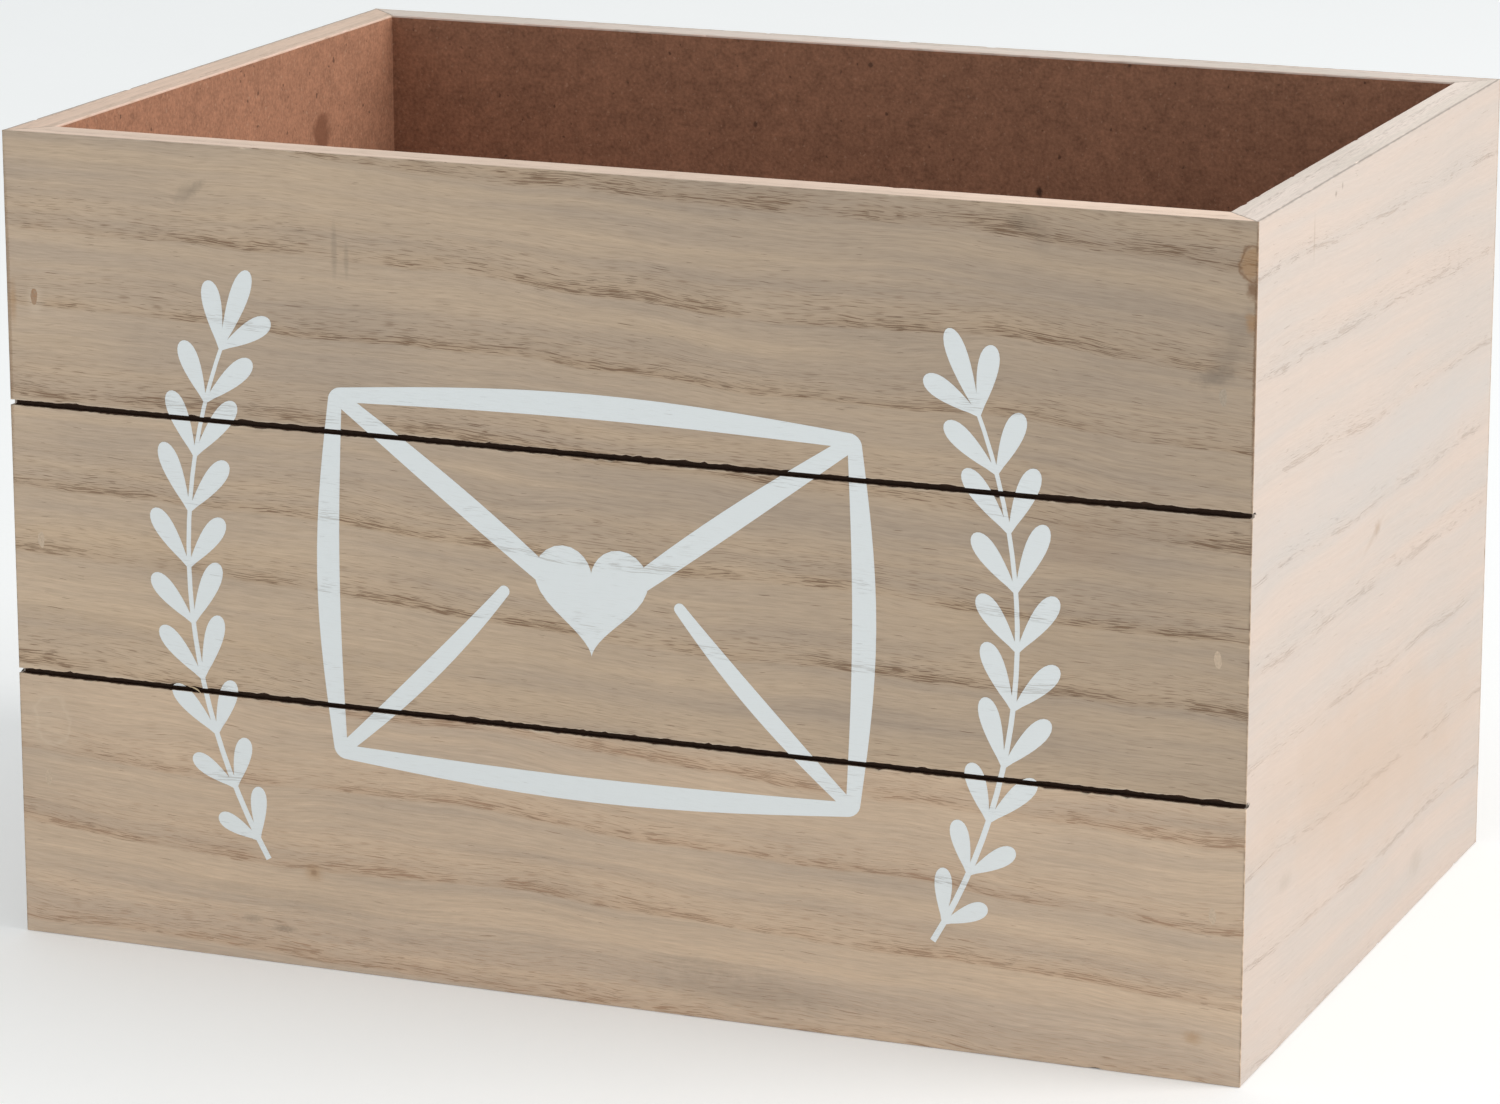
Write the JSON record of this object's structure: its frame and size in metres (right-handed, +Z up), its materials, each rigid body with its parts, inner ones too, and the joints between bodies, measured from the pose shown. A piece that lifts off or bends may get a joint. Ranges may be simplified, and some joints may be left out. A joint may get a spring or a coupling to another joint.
{
  "type": "wedding card box",
  "caption": "Open-topped wooden box that stands on a table and collects cards, with a grooved plank front, mitred rim and white painted sprigs and envelope.",
  "frame": {"origin": "middle of the underside, at the height of the surface the box stands on", "axes": "+X to the right across the front, -Y out of the grooved front, +Z up through the open top"},
  "size_m": [0.3, 0.1981, 0.192],
  "materials": {
    "fibreboard": "bare reddish-brown fibreboard with fine dark specks",
    "front_veneer": "unvarnished grey-tan veneer with dark pores along the grain",
    "side_veneer": "unvarnished pale veneer with faint grain",
    "rim_wood": "sanded pale wood strip",
    "brad_steel": "plain flat steel wire",
    "wood_filler": "dull brown wood filler",
    "white_paint": "thin matt white acrylic paint, with the wood's pores showing through"
  },
  "bodies": {
    "root": {"front_core": "fibreboard", "rear_core": "fibreboard", "left_core": "fibreboard", "right_core": "fibreboard", "floor_panel": "fibreboard", "front_plank_upper": "front_veneer", "front_plank_middle": "front_veneer", "front_plank_lower": "front_veneer", "left_veneer": "side_veneer", "right_veneer": "side_veneer", "rear_veneer": "side_veneer", "rim_band_front": "rim_wood", "rim_band_rear": "rim_wood", "rim_band_left": "rim_wood", "rim_band_right": "rim_wood", "front_brads": "brad_steel", "rear_brads": "brad_steel", "front_brad_filler": "wood_filler", "rear_brad_filler": "wood_filler", "sprig_left": "white_paint", "sprig_right": "white_paint", "envelope_motif": "white_paint"}
  },
  "joints": []
}
